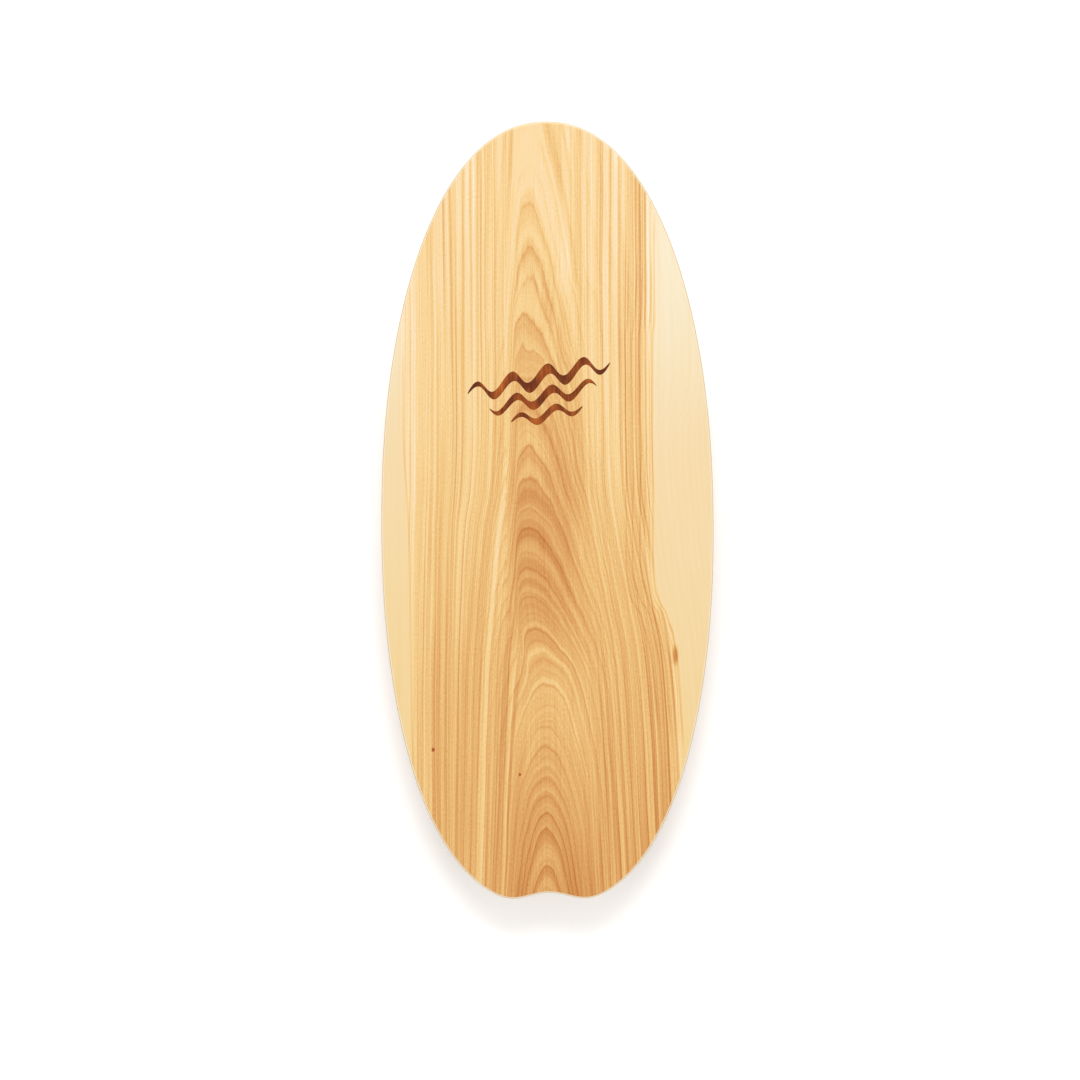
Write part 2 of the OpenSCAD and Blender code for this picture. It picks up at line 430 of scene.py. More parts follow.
# Heights of the tops of the marked rings, and how each is drawn: bold, plain or faint
BOLD, PLAIN, FAINT = 0.95, 0.65, 0.4
RINGS = [(-440, FAINT), (-410, BOLD), (-370, BOLD), (-335, BOLD), (-315, BOLD), (-295, PLAIN), (-275, FAINT), (-245, FAINT),
         (-220, FAINT), (-205, FAINT), (-180, FAINT), (-155, PLAIN), (-125, PLAIN), (-90, FAINT), (-60, PLAIN), (-20, BOLD),
         (5, FAINT), (35, BOLD), (65, PLAIN), (110, FAINT), (140, FAINT), (170, BOLD), (205, FAINT), (240, PLAIN), (265, BOLD),
         (310, FAINT), (350, FAINT), (400, FAINT)]


def depth2(y):
    for (a, p), (b, q) in zip(DEPTH2, DEPTH2[1:]):
        if y <= b:
            return p + (q - p) * (y - a) / (b - a)
    return DEPTH2[-1][1] + 24.0 * (y - DEPTH2[-1][0])


def ash_lightness(g):
    """The crown-cut figure: brightness 0 to 255 over the deck, from X (across) and Y (along), in mm."""
    X, Y = g.x, g.y
    wob = g.streak(X, Y, 60.0, 300.0, 3.0, 1.0)
    wob2 = g.streak(X, Y, 12.0, 110.0, 7.0, 1.0)
    xw = g.add(X, g.mul(wob, 2.2), g.mul(wob2, 0.8))
    d2 = g.curve(Y, -420, 420, DEPTH2)

    # x, measured from the middle of the arches, which lies left of the deck's middle towards the nose
    x0 = g.curve(Y, -420, 420, [(-420, -2), (-190, -3), (-150, -8), (-110, -15), (-70, -19), (60, -20), (180, -23), (260, -18), (420, -20)])
    xr = g.sub(xw, g.mul(x0, g.step(g.m("ABSOLUTE", X), 105.0, 5.0)))
    ax = g.m("ABSOLUTE", xr)
    side = g.step(xr, -3.0, 3.0)
    m_plain = g.curve(ax, 0, 180, [(0, 1.0), (77, 1.0), (95, 1.16), (110, 1.32), (130, 1.5), (180, 1.6)])
    m_right = g.curve(Y, -420, 420, [(-420, 1.0), (60, 1.0), (110, 0.82), (200, 0.72), (240, 0.95), (420, 1.1)])
    m_steep = g.curve(ax, 0, 180, [(0, 0.7), (8, 0.75), (13, 1.1), (17, 2.4), (20, 3.4), (24, 3.5), (30, 2.8), (40, 2.0), (60, 1.3), (77, 1.1), (95, 1.2),
                                   (110, 1.34), (130, 1.5), (180, 1.6)])
    steep = g.curve(Y, -420, 420, [(-420, 0), (-250, 0), (-180, 0.25), (-120, 0.6), (-50, 0.95), (70, 1), (130, 0.7), (180, 0.8), (230, 0.5), (420, 0.3)])
    grow = g.mul(g.mul(ax, ax), g.mixf(side, g.mixf(steep, m_plain, m_steep), m_right))
    rho0 = g.m("SQRT", g.add(d2, grow))

    # Bumps in the rings: broad waves, and flames at the tops of the arches
    near_c = g.step(ax, 75.0, 15.0)
    up = g.step(Y, 90.0, 220.0, 1.0, 0.5)
    flames = g.mul(g.mul(g.streak(X, Y, 6.0, 120.0, 13.0, 1.0), near_c), g.step(Y, 60.0, 180.0, 0.35, 0.7))
    bumps = g.add(g.mul(g.streak(X, Y, 30.0, 60.0, 11.0, 2.0), 1.5), flames)
    bumps = g.mul(bumps, up)
    rho = g.add(rho0, g.mul(bumps, g.step(ax, 120.0, 30.0, 0.45, 1.0)))

    # Coordinate of the lines beside the arches, and the edges of the heartwood
    right = g.curve(Y, -420, 420, [(-420, 46), (-300, 40), (-165, 32), (-100, 22), (-20, 8), (40, 1), (110, 0), (420, 0)])
    left = g.curve(Y, -420, 420, [(-420, 33), (-300, 28), (-165, 22), (-100, 17), (-20, 10), (40, 2), (110, 0), (420, 0)])
    u = g.sub(xw, g.mul(right, g.step(X, -10.0, 45.0)))
    u = g.add(u, g.mul(g.mul(left, g.step(X, 0.0, -45.0)), g.step(X, -115.0, -70.0, 0.22, 1.0)))
    edge_r = g.curve(Y, -420, 420, [(-420, 142), (-225, 138), (-165, 134), (-145, 131), (-110, 123), (-45, 108), (170, 108), (200, 110), (420, 112)])
    edge_l = g.curve(Y, -420, 420, [(-420, -137), (-210, -140), (-60, -142), (185, -149), (420, -147)])
    out_r, out_l = g.add(g.sub(xw, edge_r), g.mul(wob2, 3.0)), g.sub(edge_l, xw)
    heart = g.mul(g.step(out_r, 3.0, -5.0, 0.13, 1.0), g.step(out_l, 6.0, -6.0, 0.16, 1.0))

    def bands(c, w, seed):
        """Soft bands of lighter and darker wood along lines of constant c."""
        return g.noise(g.vec(g.m("DIVIDE", c, w), g.m("DIVIDE", Y, 1200.0), seed), 1.0, 0.5)

    # The broad shade: paler towards the nose and in the sapwood, darker down the middle and towards the tail
    beside_shade = g.curve(Y, -420, 420, [(-420, 184), (-200, 191), (0, 204), (200, 213), (420, 217)])
    middle_shade = g.curve(Y, -420, 420, [(-420, 172), (-200, 196), (-50, 175), (20, 179), (60, 188), (150, 202), (420, 212)])
    sap_shade = g.curve(Y, -420, 420, [(-420, 205), (-150, 217), (50, 222), (250, 236), (420, 238)])
    tone = g.add(beside_shade, g.mul(bands(u, 15.0, 81.0), 16.0), g.mul(bands(u, 6.5, 83.0), 12.0))
    tone = g.sub(tone, g.mul(g.mul(g.step(out_r, -40.0, -18.0), g.step(out_r, -2.0, -14.0)), 6.0))
    tone = g.add(tone, g.mul(g.step(out_l, -36.0, -2.0), 8.0))
    tone = g.mixf(g.m("MAXIMUM", g.step(out_r, -13.0, 4.0), g.step(out_l, -14.0, 4.0)), tone, sap_shade)

    # Down the middle the shade goes by the ring, so it follows the arches
    middle = g.add(middle_shade, g.mul(bands(rho, 8.0, 85.0), 14.0))
    near = g.mixf(side, g.step(ax, 36.0, 9.0), g.step(ax, 70.0, 28.0))
    tone = g.mixf(g.mul(near, 0.85), tone, middle)

    # The marked rings, dark at the outside and fading inwards
    marks = [(math.sqrt(depth2(y)), k) for y, k in RINGS]
    last = marks[-1][0]
    marks += [(last + 5.5 * i, 0.35 + 0.25 * (i % 3 == 0)) for i in range(1, 16)]
    top = marks[-1][0]
    phase = g.curve(rho, marks[0][0], top, [(r, i) for i, (r, k) in enumerate(marks)])
    f = g.m("FRACT", phase)
    n = len(RINGS)
    strength = g.ramp(g.add(phase, -0.5), 0, n, [(i, k) for i, (r, k) in enumerate(marks[:n + 1])])
    line = g.ramp(f, 0.0, 1.0, [(0.0, 1.0), (0.04, 0.5), (0.10, 0.0), (0.45, 0.0), (0.80, 0.28), (0.93, 0.55), (1.0, 1.0)])
    ring = g.mul(g.mul(line, strength), g.mixf(side, g.step(ax, 60.0, 20.0, 0.25, 1.0), g.step(ax, 90.0, 35.0, 0.3, 1.0)))

    def fibres(u, w, seed, thin, dark):
        """Thin dark lines, and the soft bands between them, along lines of constant u."""
        n = g.noise(g.vec(g.m("DIVIDE", u, w), g.m("DIVIDE", Y, 900.0), seed), 2.0, 0.55)
        edge = g.step(g.m("ABSOLUTE", g.add(n, 0.06)), thin, 0.0)
        return g.sub(g.mul(n, 0.6), g.mul(edge, dark))

    def crisp(u, w, seed, dark, pale):
        """Sparse narrow lines of constant u, dark ones and pale ones, running the length of the deck."""
        n = g.noise(g.vec(g.m("DIVIDE", u, w), g.m("DIVIDE", Y, 800.0), seed), 1.0, 0.5)
        return g.sub(g.mul(g.step(n, -0.16, -0.42), pale), g.mul(g.step(n, 0.12, 0.38), dark))

    # Fine rings in the middle, fine lines along the grain beside them, weaker in the sapwood
    beside = g.mixf(side, g.step(ax, 18.0, 36.0), g.step(ax, 38.0, 62.0))
    rings = g.add(g.mul(fibres(rho, 6.5, 51.0, 0.12, 0.6), 14.0), g.mul(fibres(rho, 2.6, 53.0, 0.18, 0.5), 20.0),
                  g.mul(g.streak(xr, Y, 1.3, 160.0, 55.0, 1.0), 13.0))
    lines = g.add(g.mul(fibres(u, 6.0, 21.0, 0.12, 0.7), 13.0), crisp(u, 4.2, 71.0, 14.0, 8.0), crisp(u, 2.0, 73.0, 20.0, 10.0),
                  g.mul(g.streak(u, Y, 1.1, 600.0, 24.0, 1.0), 17.0))
    lines = g.mul(lines, g.step(X, 0.0, 90.0, 1.0, 1.15))
    fine = g.mixf(beside, rings, lines)
    broken = g.mul(g.streak(X, Y, 0.95, 70.0, 25.0, 1.0), 9.0)
    short = g.mul(g.streak(X, Y, 0.9, 3.0, 26.0, 0.0), 10.0)
    cloud = g.mul(g.streak(X, Y, 60.0, 140.0, 27.0, 2.0), 3.5)
    tone = g.sub(tone, g.mul(ring, 30.0))
    tone = g.add(tone, g.mul(g.add(fine, broken, short), heart), cloud, g.mul(heart, 1.5), 1.0)

    # The dark right leg of the wide arch near the nose, in two strands, and a few lines that stand out beside the arches
    leg = g.curve(Y, -420, 420, [(-420, 30), (40, 30), (110, 22), (180, 6), (220, -6), (265, -17), (420, -20)])
    off = g.add(g.sub(X, leg), g.mul(wob2, 3.0))
    window = g.mul(g.step(Y, 30.0, 110.0), g.step(Y, 270.0, 235.0))
    uneven = g.add(0.75, g.mul(g.streak(X, Y, 4.0, 55.0, 65.0, 2.0), 1.1))
    strands = g.add(g.mul(g.step(g.m("ABSOLUTE", off), 4.5, 0.5), 17.0), g.mul(g.step(g.m("ABSOLUTE", g.sub(off, 9.0)), 4.0, 0.5), 9.0))
    tone = g.sub(tone, g.mul(g.mul(strands, window), uneven))
    for at, width, depth in ((-39.0, 2.4, -10.0), (-48.5, 3.0, 9.0), (-107.0, 3.0, 8.0), (51.5, 2.6, -10.0), (58.0, 2.2, 8.0)):
        on = g.mul(g.step(g.m("ABSOLUTE", g.sub(u, at)), width, 0.3), g.step(Y, 150.0, 60.0))
        tone = g.sub(tone, g.mul(on, depth))

    # Near the nose a pale patch ends in flames that point up the grain
    tips = g.add(Y, g.mul(g.streak(X, Y, 5.0, 240.0, 61.0, 2.0), 26.0), g.mul(g.streak(X, Y, 14.0, 240.0, 63.0, 1.0), 18.0))
    pale = g.mul(g.step(tips, 340.0, 347.0), g.mul(g.step(xw, -35.0, -30.0), g.step(xw, -3.0, -7.0)))
    tone = g.mixf(g.mul(pale, 0.8), tone, 217.0)
    return tone, heart, out_r, out_l


def ash_face_material():
    g = Graph("ash_face_veneer", rough=0.45, spec=0.3, coat=0.15, coat_rough=0.3)
    tone, heart, out_r, out_l = ash_lightness(g)
    X, Y = g.x, g.y

    # Thin dark lines where the heartwood starts
    def thin(xs, at, width, depth, y0, y1):
        d = g.m("ABSOLUTE", g.sub(xs, at))
        on = g.mul(g.step(d, width, 0.0), g.mul(g.step(Y, y0 - 20, y0 + 20), g.step(Y, y1 + 20, y1 - 20)))
        return g.mul(on, depth)

    tone = g.sub(tone, thin(out_l, 0.0, 1.5, 16.0, -280.0, 160.0))
    tone = g.sub(tone, thin(out_r, 0.0, 1.7, 22.0, -240.0, 300.0))
    for at, depth in ((-4.0, 18.0), (-8.5, 12.0), (-13.0, 19.0), (-19.5, 15.0), (-27.0, 16.0)):
        tone = g.sub(tone, thin(out_r, at, 1.3, depth, -230.0, 250.0))
    tone = g.sub(tone, thin(X, 25.5, 1.3, 13.0, 250.0, 400.0))
    tone = g.add(tone, thin(X, 22.0, 10.0, 13.0, 235.0, 400.0))
    tone = g.add(tone, thin(X, 41.0, 4.5, 8.0, 235.0, 400.0))

    # Pores: short dark dashes along the grain
    p = g.voronoi(g.vec(g.m("DIVIDE", X, 1.15), g.m("DIVIDE", Y, 9.0), 0.0))
    dash = g.step(p.outputs["Distance"], 0.30, 0.10)
    pick = g.step(g.m("FRACT", g.mul(p.outputs["Color"], 7.3)), 0.55, 0.75)
    tone = g.sub(tone, g.mul(g.mul(g.mul(dash, pick), heart), 9.0))

    # Pin knots
    for kx, ky, r in ((-118.5, -246.0, 1.3), (-29.5, -272.0, 1.0)):
        dx, dy = g.sub(X, kx), g.m("DIVIDE", g.sub(Y, ky), 1.3)
        d = g.m("SQRT", g.add(g.mul(dx, dx), g.mul(dy, dy)))
        tone = g.sub(tone, g.mul(g.step(d, r * 1.7, r * 0.6), 70.0))

    # The small burr where the heartwood's edge jogs outwards
    dx, dy = g.sub(X, 131.0), g.m("DIVIDE", g.sub(Y, -150.0), 3.2)
    d = g.m("SQRT", g.add(g.mul(dx, dx), g.mul(dy, dy)))
    tone = g.sub(tone, g.mul(g.step(d, 4.6, 0.8), 46.0))

    c = g.ramp(tone, 120, 244, ASH)
    # The rounded edge, picked by its surface normal, is painted paler than the face: partly the sanded edge's own paler
    # wood, partly a painted highlight for the light the edge catches
    sep = g.nt.nodes.new("ShaderNodeSeparateXYZ")
    g.link(g.coord.outputs["Normal"], sep.inputs[0])
    sanded_edge_and_highlight = g.step(sep.outputs[2], 0.985, 0.90)
    # Sapwood is a greener yellow than heartwood of the same brightness
    sap = g.m("MAXIMUM", g.step(out_r, -2.0, 6.0), g.step(out_l, -2.0, 6.0))
    c = g.mixc(g.mul(sap, 0.55), c, g.mixc(1.0, c, (0.93, 0.985, 1.0, 1.0), "MULTIPLY"))
    # Painted highlight: the rounded edge is mixed three quarters of the way to pale cream
    g.colour(g.mixc(g.mul(sanded_edge_and_highlight, 0.75), c, rgb(253, 240, 214)))
    g.rough(g.m("MULTIPLY_ADD", g.streak(X, Y, 0.6, 20.0, 31.0, 1.0), 0.05, 0.42))
    h = g.add(g.mul(g.streak(X, Y, 0.5, 14.0, 33.0, 2.0), 0.5), g.mul(g.mul(dash, pick), -0.8))
    g.bump(h, 0.25, 0.00006)
    return g.mat


def engraving_material():
    g = Graph("engraved_wave_floor", rough=0.75, spec=0.15)
    n = g.streak(g.x, g.y, 1.2, 22.0, 41.0, 3.0, 0.65)
    n2 = g.streak(g.x, g.y, 14.0, 40.0, 43.0, 2.0)
    t = g.add(g.mul(n, 0.9), g.mul(n2, 1.4), 0.5)
    g.colour(g.ramp(t, -0.3, 1.3, [(-0.3, dark(82, 38, 24)), (0.3, dark(116, 56, 29)), (0.75, dark(154, 78, 34)), (1.3, dark(194, 106, 46))]))
    g.bump(n, 0.5, 0.00015)
    return g.mat


def plain_wood(name, stops, grain="Y", width=2.2, length=160.0, rough=0.5, coat=0.1, seed=0.0, pore=6.0):
    """Straight-grained wood: stops are colours from dark to pale."""
    g = Graph(name, rough=rough, spec=0.3, coat=coat, coat_rough=0.35)
    a, b, c = {"Y": (g.x, g.y, g.z), "X": (g.y, g.x, g.z), "Z": (g.x, g.z, g.y)}[grain]
    warp = g.mul(g.noise(g.vec(g.m("DIVIDE", a, 30.0), g.m("DIVIDE", b, 140.0), g.add(g.m("DIVIDE", c, 30.0), seed)), 1.0), 4.0)
    aw = g.add(a, warp)

    def layer(w, l, s, detail):
        return g.noise(g.vec(g.m("DIVIDE", aw, w), g.m("DIVIDE", b, l), g.add(g.m("DIVIDE", c, w), s + seed)), detail, 0.6)

    t = g.add(0.5, g.mul(layer(width * 3, length * 2, 1.0, 2.0), 0.55), g.mul(layer(width, length, 2.0, 3.0), 0.45),
              g.mul(layer(width * 0.25, length * 0.2, 3.0, 1.0), 0.22))
    fleck = g.step(layer(0.7, pore, 4.0, 0.0), 0.34, 0.62)
    t = g.sub(t, g.mul(fleck, 0.35))
    n = len(stops)
    g.colour(g.ramp(t, 0.0, 1.0, [(i / (n - 1), s) for i, s in enumerate(stops)]))
    g.rough(g.m("MULTIPLY_ADD", layer(width, length, 2.0, 1.0), 0.06, rough))
    g.bump(g.sub(layer(width * 0.4, length * 0.4, 5.0, 2.0), fleck), 0.3, 0.00010)
    return g.mat


def ply_edge_material(name, along):
    """A birch ply seen on its edge. Long grain shows where the edge runs with the grain, end grain where it is cut across."""
    g = Graph(name, rough=0.55, spec=0.3, coat=0.15, coat_rough=0.3)
    sep = g.nt.nodes.new("ShaderNodeSeparateXYZ")
    g.link(g.coord.outputs["Normal"], sep.inputs[0])
    nx, ny = g.m("ABSOLUTE", sep.outputs[0]), g.m("ABSOLUTE", sep.outputs[1])
    cutacross = g.step(ny, 0.25, 0.85) if along else g.step(nx, 0.25, 0.85)
    run = g.add(g.x, g.y)
    run2 = g.sub(g.x, g.y)
    longg = g.noise(g.vec(g.m("DIVIDE", run, 45.0), g.m("DIVIDE", run2, 45.0), g.m("DIVIDE", g.z, 0.35)), 3.0, 0.6)
    long_c = g.ramp(longg, -0.7, 0.7, [(-0.7, rgb(228, 194, 144)), (0.0, rgb(246, 226, 186)), (0.7, rgb(252, 240, 212))])
    dots = g.noise(g.vec(g.m("DIVIDE", g.x, 0.45), g.m("DIVIDE", g.y, 0.45), g.m("DIVIDE", g.z, 0.32)), 2.0, 0.7)
    band = g.noise(g.vec(g.m("DIVIDE", run, 9.0), g.m("DIVIDE", run2, 9.0), g.m("DIVIDE", g.z, 2.0)), 2.0, 0.5)
    end_t = g.add(g.mul(dots, 0.7), g.mul(band, 0.6))
    end_c = g.ramp(end_t, -0.8, 0.8, [(-0.8, rgb(206, 166, 112)), (-0.1, rgb(230, 198, 148)), (0.8, rgb(244, 220, 178))])
    g.colour(g.mixc(cutacross, long_c, end_c))
    g.bump(g.add(dots, longg), 0.35, 0.00008)
    return g.mat


def cork_material():
    g = Graph("pressed_cork", rough=0.85, spec=0.2)
    v3 = g.vec(g.m("DIVIDE", g.x, 2.6), g.m("DIVIDE", g.y, 2.6), g.m("DIVIDE", g.z, 2.6))
    wv = g.nt.nodes.new("ShaderNodeVectorMath")
    wv.operation = "ADD"
    nn = g.nt.nodes.new("ShaderNodeTexNoise")
    nn.inputs["Scale"].default_value = 1.3
    nn.inputs["Detail"].default_value = 2.0
    g.link(v3, nn.inputs["Vector"])
    sc = g.nt.nodes.new("ShaderNodeVectorMath")
    sc.operation = "SCALE"
    sc.inputs["Scale"].default_value = 0.7
    g.link(nn.outputs["Color"], sc.inputs[0])
    g.link(v3, wv.inputs[0])
    g.link(sc.outputs[0], wv.inputs[1])
    cell = g.voronoi(wv.outputs[0])
    edge = g.voronoi(wv.outputs[0], "DISTANCE_TO_EDGE")
    hue = g.m("FRACT", g.mul(cell.outputs["Color"], 3.7))
    grain = g.noise(g.vec(g.m("DIVIDE", g.x, 0.5), g.m("DIVIDE", g.y, 0.5), g.m("DIVIDE", g.z, 0.5)), 2.0, 0.7)
    t = g.add(g.mul(hue, 0.8), g.mul(grain, 0.22))
    c = g.ramp(t, 0.0, 1.0, [(0.0, dark(112, 70, 42)), (0.12, dark(158, 108, 66)), (0.35, dark(188, 138, 90)), (0.7, dark(207, 160, 110)), (1.0, dark(224, 184, 136))])
    seam = g.step(edge.outputs["Distance"], 0.0, 0.09)
    c = g.mixc(seam, dark(120, 78, 46), c)
    g.colour(c)
    h = g.add(g.mul(g.step(edge.outputs["Distance"], 0.0, 0.16), 0.7), g.mul(grain, 0.3))
    g.bump(h, 0.6, 0.00025)
    return g.mat


def rubber_material():
    g = Graph("pad_rubber_black", rough=0.7, spec=0.35)
    n = g.noise(g.vec(g.m("DIVIDE", g.x, 0.5), g.m("DIVIDE", g.y, 0.5), g.m("DIVIDE", g.z, 0.5)), 3.0, 0.6)
    d = g.noise(g.vec(g.m("DIVIDE", g.x, 6.0), g.m("DIVIDE", g.y, 6.0), g.m("DIVIDE", g.z, 6.0)), 2.0, 0.6)
    g.colour(g.ramp(g.add(g.mul(n, 0.4), g.mul(d, 0.6)), -0.8, 0.8, [(-0.8, dark(24, 24, 25)), (0.2, dark(36, 36, 37)), (0.8, dark(58, 56, 54))]))
    g.rough(g.m("MULTIPLY_ADD", d, 0.08, 0.7))
    g.bump(n, 0.4, 0.0001)
    return g.mat


def steel_material():
    g = Graph("zinc_plated_screw", rough=0.3, spec=0.5, metallic=1.0)
    n = g.noise(g.vec(g.m("DIVIDE", g.x, 0.4), g.m("DIVIDE", g.y, 0.4), g.m("DIVIDE", g.z, 3.0)), 3.0, 0.6)
    d = g.noise(g.vec(g.m("DIVIDE", g.x, 3.0), g.m("DIVIDE", g.y, 3.0), g.m("DIVIDE", g.z, 3.0)), 2.0, 0.5)
    g.colour(g.ramp(g.add(g.mul(n, 0.4), g.mul(d, 0.6)), -0.8, 0.8, [(-0.8, rgb(176, 176, 178, 1.2)), (0.3, rgb(208, 209, 212, 1.2)), (0.8, rgb(226, 226, 222, 1.2))]))
    g.rough(g.m("MULTIPLY_ADD", n, 0.08, 0.3))
    g.bump(n, 0.15, 0.00004)
    return g.mat


def tube_material():
    g = Graph("core_tube_plastic", rough=0.55, spec=0.4)
    n = g.noise(g.vec(g.m("DIVIDE", g.x, 40.0), g.m("DIVIDE", g.y, 0.8), g.m("DIVIDE", g.z, 0.8)), 2.0, 0.5)
    s = g.noise(g.vec(g.m("DIVIDE", g.x, 0.6), g.m("DIVIDE", g.y, 0.6), g.m("DIVIDE", g.z, 0.6)), 2.0, 0.5)
    g.colour(g.ramp(g.add(g.mul(n, 0.6), g.mul(s, 0.3)), -0.8, 0.8, [(-0.8, dark(52, 52, 54)), (0.8, dark(84, 84, 87))]))
    g.rough(g.m("MULTIPLY_ADD", n, 0.07, 0.55))
    g.bump(g.add(n, s), 0.25, 0.00008)
    return g.mat


M_FACE = ash_face_material()
M_WAVE = engraving_material()
M_BACK = plain_wood("ash_back_veneer", [rgb(206, 150, 92), rgb(226, 176, 116), rgb(240, 200, 142), rgb(248, 216, 166), rgb(252, 230, 192)],
                    "Y", 4.0, 420.0, 0.45, 0.2, 3.0, 9.0)
M_LONG = ply_edge_material("birch_ply_long", True)
M_CROSS = ply_edge_material("birch_ply_cross", False)
M_RAIL = plain_wood("beech_rail", [rgb(176, 118, 74), rgb(200, 142, 94), rgb(216, 162, 114), rgb(228, 180, 134)], "X", 2.6, 90.0, 0.5, 0.1, 5.0, 3.0)
M_CAP = plain_wood("birch_cap", [rgb(198, 150, 98), rgb(222, 180, 126), rgb(236, 202, 152), rgb(246, 220, 178)], "Z", 3.2, 70.0, 0.5, 0.1, 8.0, 5.0)
M_RUBBER = rubber_material()
M_STEEL = steel_material()
M_CORK = cork_material()
M_TUBE = tube_material()


def finish_piece(ob, node, body):
    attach(ob, body)
    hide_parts(node)
    return ob


def slab_levels(z0, z1):
    fine = min(z0 - UNDER, TOP - z1) < EDGE_R - 1e-6
    k = 6 if fine else 1
    return [(z0 + (z1 - z0) * i / k, edge_back(z0 + (z1 - z0) * i / k)) for i in range(k + 1)]


def wave_outlines():
    """The engraved waves: three strokes, thick in the middle and drawn out to points."""
    tilt = math.radians(12.0)
    long, a0 = 150.0, 7.5
    out = []
    for length, up, a, half in ((long, 20.0, a0, 5.2), (long * 0.75, 0.0, a0 * 0.85, 4.3), (long * 0.5, -18.0, a0 * 0.7, 3.4)):
        n = 400
        top, low = [], []
        for i in range(n + 1):
            u = i / n
            x = length * (u - 0.5)
            s = math.sin(2 * math.pi * (x + long / 2) / (long / 4))
            h = 0.25 + half * math.sqrt(max(0.0, math.sin(math.pi * u)))
            px, py = x + 0.3 * a * s, up + a * s
            for side, row in ((h, top), (-h, low)):
                row.append((-4.0 + px * math.cos(tilt) - (py + side) * math.sin(tilt), 116.0 + px * math.sin(tilt) + (py + side) * math.cos(tilt)))
        out.append(low + top[::-1])
    return out


face = new_object("face_veneer_ash", outline_slab(OUTLINE, slab_levels(TOP - VENEER, TOP)), 50, (M_FACE, M_WAVE))
for i, outline in enumerate(wave_outlines()):
    cutter = new_object("wave_cutter_%d" % i, stack([[(x * MM, y * MM, z * MM) for x, y in outline] for z in (TOP - 0.3, TOP + 1.0)]), 30, (M_WAVE,))
    cut(face, cutter)
finish_piece(face, "face_veneer", "deck")

for i in range(1, 10):
    z1 = TOP - VENEER - (i - 1) * PLY
    ob = new_object("core_ply_%d_birch" % i, outline_slab(OUTLINE, slab_levels(z1 - PLY, z1)), 50, (M_CROSS if i % 2 else M_LONG,))
    finish_piece(ob, "core_ply_%d" % i, "deck")

back = new_object("back_veneer_ash", outline_slab(OUTLINE, slab_levels(UNDER, UNDER + VENEER)), 50, (M_BACK,))
finish_piece(back, "back_veneer", "deck")

# ---------------------------------------------------------------- stop rails, screws, pads
RAIL_L, RAIL_W, RAIL_H, RAIL_Y, RAIL_R = 190.0, 26.0, 18.0, 305.0, 3.0
PAD_D, PAD_X, PAD_OUT = 15.0, 36.0, 2.0
SCREW_X = (-70.0, 0.0, 70.0)


def stadium(l, w, cy):
    pts = []
    r, s = w / 2, (l - w) / 2
    n = 48
    for i in range(n + 1):
        t = -math.pi / 2 + math.pi * i / n
        pts.append((s + r * math.cos(t), cy + r * math.sin(t), math.cos(t), math.sin(t)))
    for i in range(n + 1):
        t = math.pi / 2 + math.pi * i / n
        pts.append((-s + r * math.cos(t), cy + r * math.sin(t), math.cos(t), math.sin(t)))
    return pts


def make_rail(node, cy):
    z0 = UNDER - RAIL_H
    levels = []
    for k in range(9):
        a = math.radians(90.0 * k / 8)
        levels.append((z0 + RAIL_R - RAIL_R * math.cos(a), RAIL_R - RAIL_R * math.sin(a)))
    levels += [(UNDER - 0.25, 0.0), (UNDER, 0.25)]
    ob = new_object(node + "_beech", outline_slab(stadium(RAIL_L, RAIL_W, cy), levels), 40, (M_RAIL,))
    for x in SCREW_X:
        prof = [(0, -2), (4.55, -2), (4.55, -0.02), (4.3, 0.25), (4.3, 1.0), (2.25, 3.3), (2.25, RAIL_H + 1), (0, RAIL_H + 1)]
        cut(ob, new_object("c", lathe(prof, 48, (x, cy, z0)), 30, (M_RAIL,)))
    for x in (-PAD_X, PAD_X):
        prof = [(0, -2), (PAD_D / 2 + 0.1, -2), (PAD_D / 2 + 0.1, 1.0), (0, 1.0)]
        cut(ob, new_object("c", lathe(prof, 64, (x, cy, z0)), 30, (M_RAIL,)))
    return finish_piece(ob, node, "deck")


